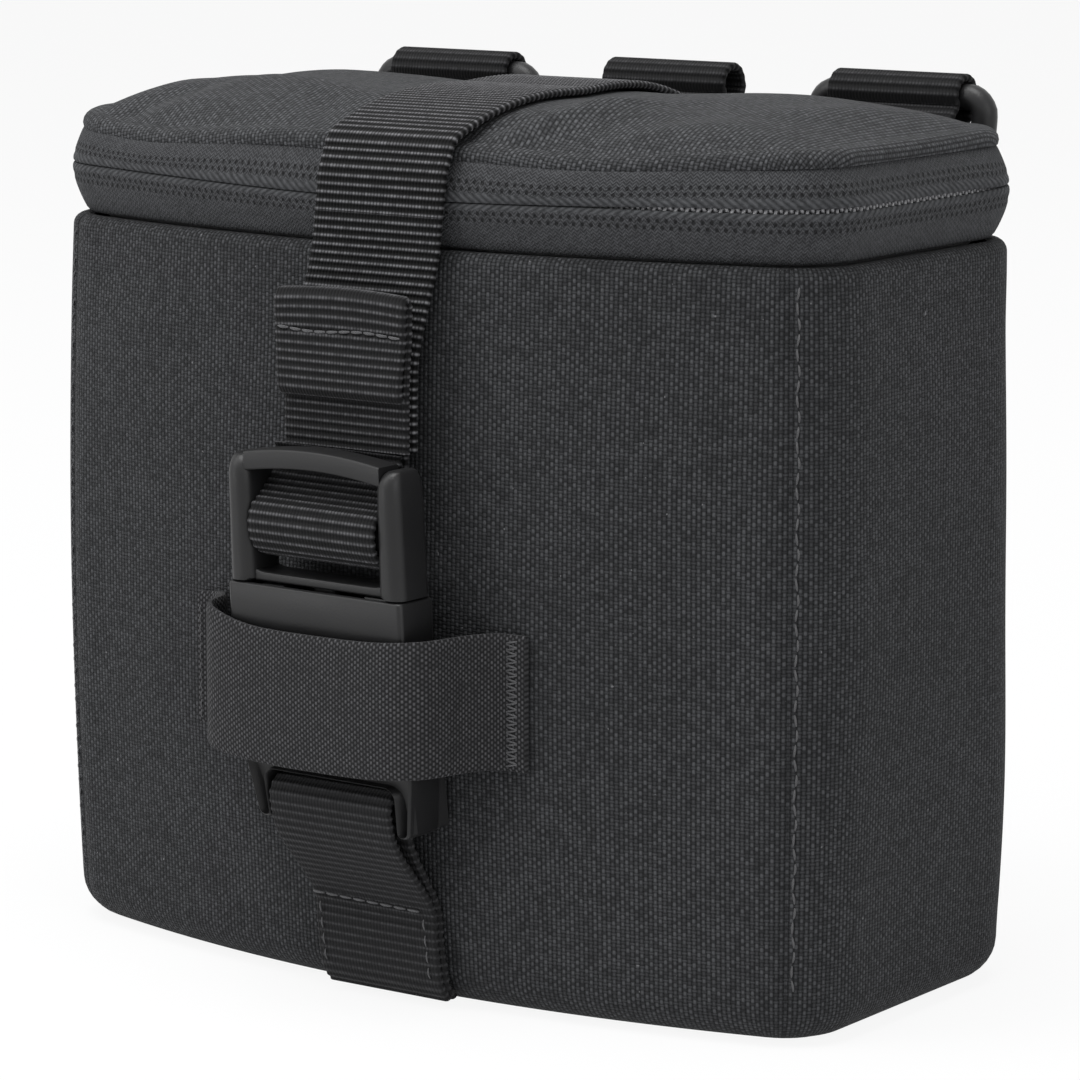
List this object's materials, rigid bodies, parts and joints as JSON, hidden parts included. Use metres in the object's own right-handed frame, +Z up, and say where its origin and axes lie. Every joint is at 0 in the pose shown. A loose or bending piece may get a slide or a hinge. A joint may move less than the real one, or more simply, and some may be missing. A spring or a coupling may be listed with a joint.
{
  "type": "binocular pouch",
  "caption": "Padded fabric pouch with a domed zip lid, a webbing closure strap with a side-release buckle, D-rings on rear loops, and modular straps on the back.",
  "frame": {"origin": "on the underside of the base panel, under the middle of the box", "axes": "+Z up, -Y out of the front with the buckle, +X to the right seen from the front"},
  "size_m": [0.1627, 0.1065, 0.1473],
  "materials": {
    "shell_fabric": "black plain-woven nylon with a slight sheen",
    "foam": "closed-cell padding foam",
    "lining_fabric": "smooth black lining cloth",
    "zipper_tape": "black knitted zipper tape",
    "zipper_coil": "black nylon coil",
    "black_metal": "black enamelled metal",
    "strap_webbing": "black nylon webbing with a beaded edge",
    "loop_webbing": "black nylon webbing",
    "buckle_plastic": "black moulded acetal with a satin grain",
    "keeper_elastic": "black woven elastic",
    "ring_plastic": "black moulded plastic, glossy"
  },
  "bodies": {
    "pouch_body": {"bottom_panel": "shell_fabric", "front_panel": "shell_fabric", "left_side_panel": "shell_fabric", "right_side_panel": "shell_fabric", "back_panel": "shell_fabric", "foam_bottom": "foam", "foam_front": "foam", "foam_left": "foam", "foam_right": "foam", "foam_back": "foam", "lining": "lining_fabric", "zipper_tape_lower": "zipper_tape", "zipper_coil_lower": "zipper_coil", "buckle_female": "buckle_plastic", "anchor_webbing": "strap_webbing", "elastic_keeper": "keeper_elastic", "ring_loop_left": "loop_webbing", "centre_loop": "loop_webbing", "ring_loop_right": "loop_webbing", "back_webbing_low": "loop_webbing", "back_webbing_high": "loop_webbing", "snap_stud_left": "black_metal", "snap_stud_right": "black_metal"},
    "lid": {"lid_panel": "shell_fabric", "lid_foam": "foam", "lid_lining": "lining_fabric", "zipper_tape_upper": "zipper_tape", "zipper_coil_upper": "zipper_coil", "closure_strap": "strap_webbing"},
    "strap_end": {"strap_drop": "strap_webbing", "strap_tail": "strap_webbing"},
    "buckle_frame": {"buckle_male": "buckle_plastic", "webbing_roll": "strap_webbing"},
    "left_prong": {"buckle_prong_left": "buckle_plastic"},
    "right_prong": {"buckle_prong_right": "buckle_plastic"},
    "slider": {"zipper_slider": "black_metal"},
    "pull": {"pull_tab": "black_metal"},
    "left_ring": {"d_ring_left": "ring_plastic"},
    "right_ring": {"d_ring_right": "ring_plastic"},
    "left_modular": {"modular_strap_left": "loop_webbing", "snap_cap_left": "black_metal"},
    "right_modular": {"modular_strap_right": "loop_webbing", "snap_cap_right": "black_metal"}
  },
  "joints": [
    {"name": "lid_hinge", "type": "hinge", "parent": "pouch_body", "child": "lid", "pos_m": [0, 0.0389, 0.1384], "axis": [-1, 0, 0], "range_deg": [0, 95]},
    {"name": "strap_swing", "type": "hinge", "parent": "lid", "child": "strap_end", "pos_m": [0, -0.0391, 0.13415], "axis": [-1, 0, 0], "range_deg": [0, 135]},
    {"name": "buckle_release", "type": "slide", "parent": "pouch_body", "child": "buckle_frame", "axis": [0, 0, 1], "range_m": [0, 0.022], "deforming": ["strap_drop", "strap_tail"]},
    {"name": "left_prong_squeeze", "type": "hinge", "parent": "buckle_frame", "child": "left_prong", "pos_m": [-0.0103, -0.0479, 0.0688], "axis": [0, -1, 0], "range_deg": [0, 4], "stiffness_Nm_per_rad": 0.05},
    {"name": "right_prong_squeeze", "type": "hinge", "parent": "buckle_frame", "child": "right_prong", "pos_m": [0.0103, -0.0479, 0.0688], "axis": [0, 1, 0], "range_deg": [0, 4], "stiffness_Nm_per_rad": 0.05},
    {"name": "slider_travel", "type": "slide", "parent": "pouch_body", "child": "slider", "axis": [0, -1, 0], "range_m": [0, 0.025]},
    {"name": "pull_swing", "type": "hinge", "parent": "slider", "child": "pull", "pos_m": [-0.0813, 0.017, 0.13125], "axis": [0, 0, -1], "range_deg": [0, 170]},
    {"name": "left_ring_swing", "type": "hinge", "parent": "pouch_body", "child": "left_ring", "pos_m": [-0.046, 0.048, 0.1434], "axis": [1, 0, 0], "range_deg": [0, 120]},
    {"name": "right_ring_swing", "type": "hinge", "parent": "pouch_body", "child": "right_ring", "pos_m": [0.046, 0.048, 0.1434], "axis": [1, 0, 0], "range_deg": [0, 120]},
    {"name": "left_modular_swing", "type": "hinge", "parent": "pouch_body", "child": "left_modular", "pos_m": [-0.0381, 0.042, 0.112], "axis": [1, 0, 0], "range_deg": [0, 90]},
    {"name": "right_modular_swing", "type": "hinge", "parent": "pouch_body", "child": "right_modular", "pos_m": [0.0381, 0.042, 0.112], "axis": [1, 0, 0], "range_deg": [0, 90]}
  ]
}
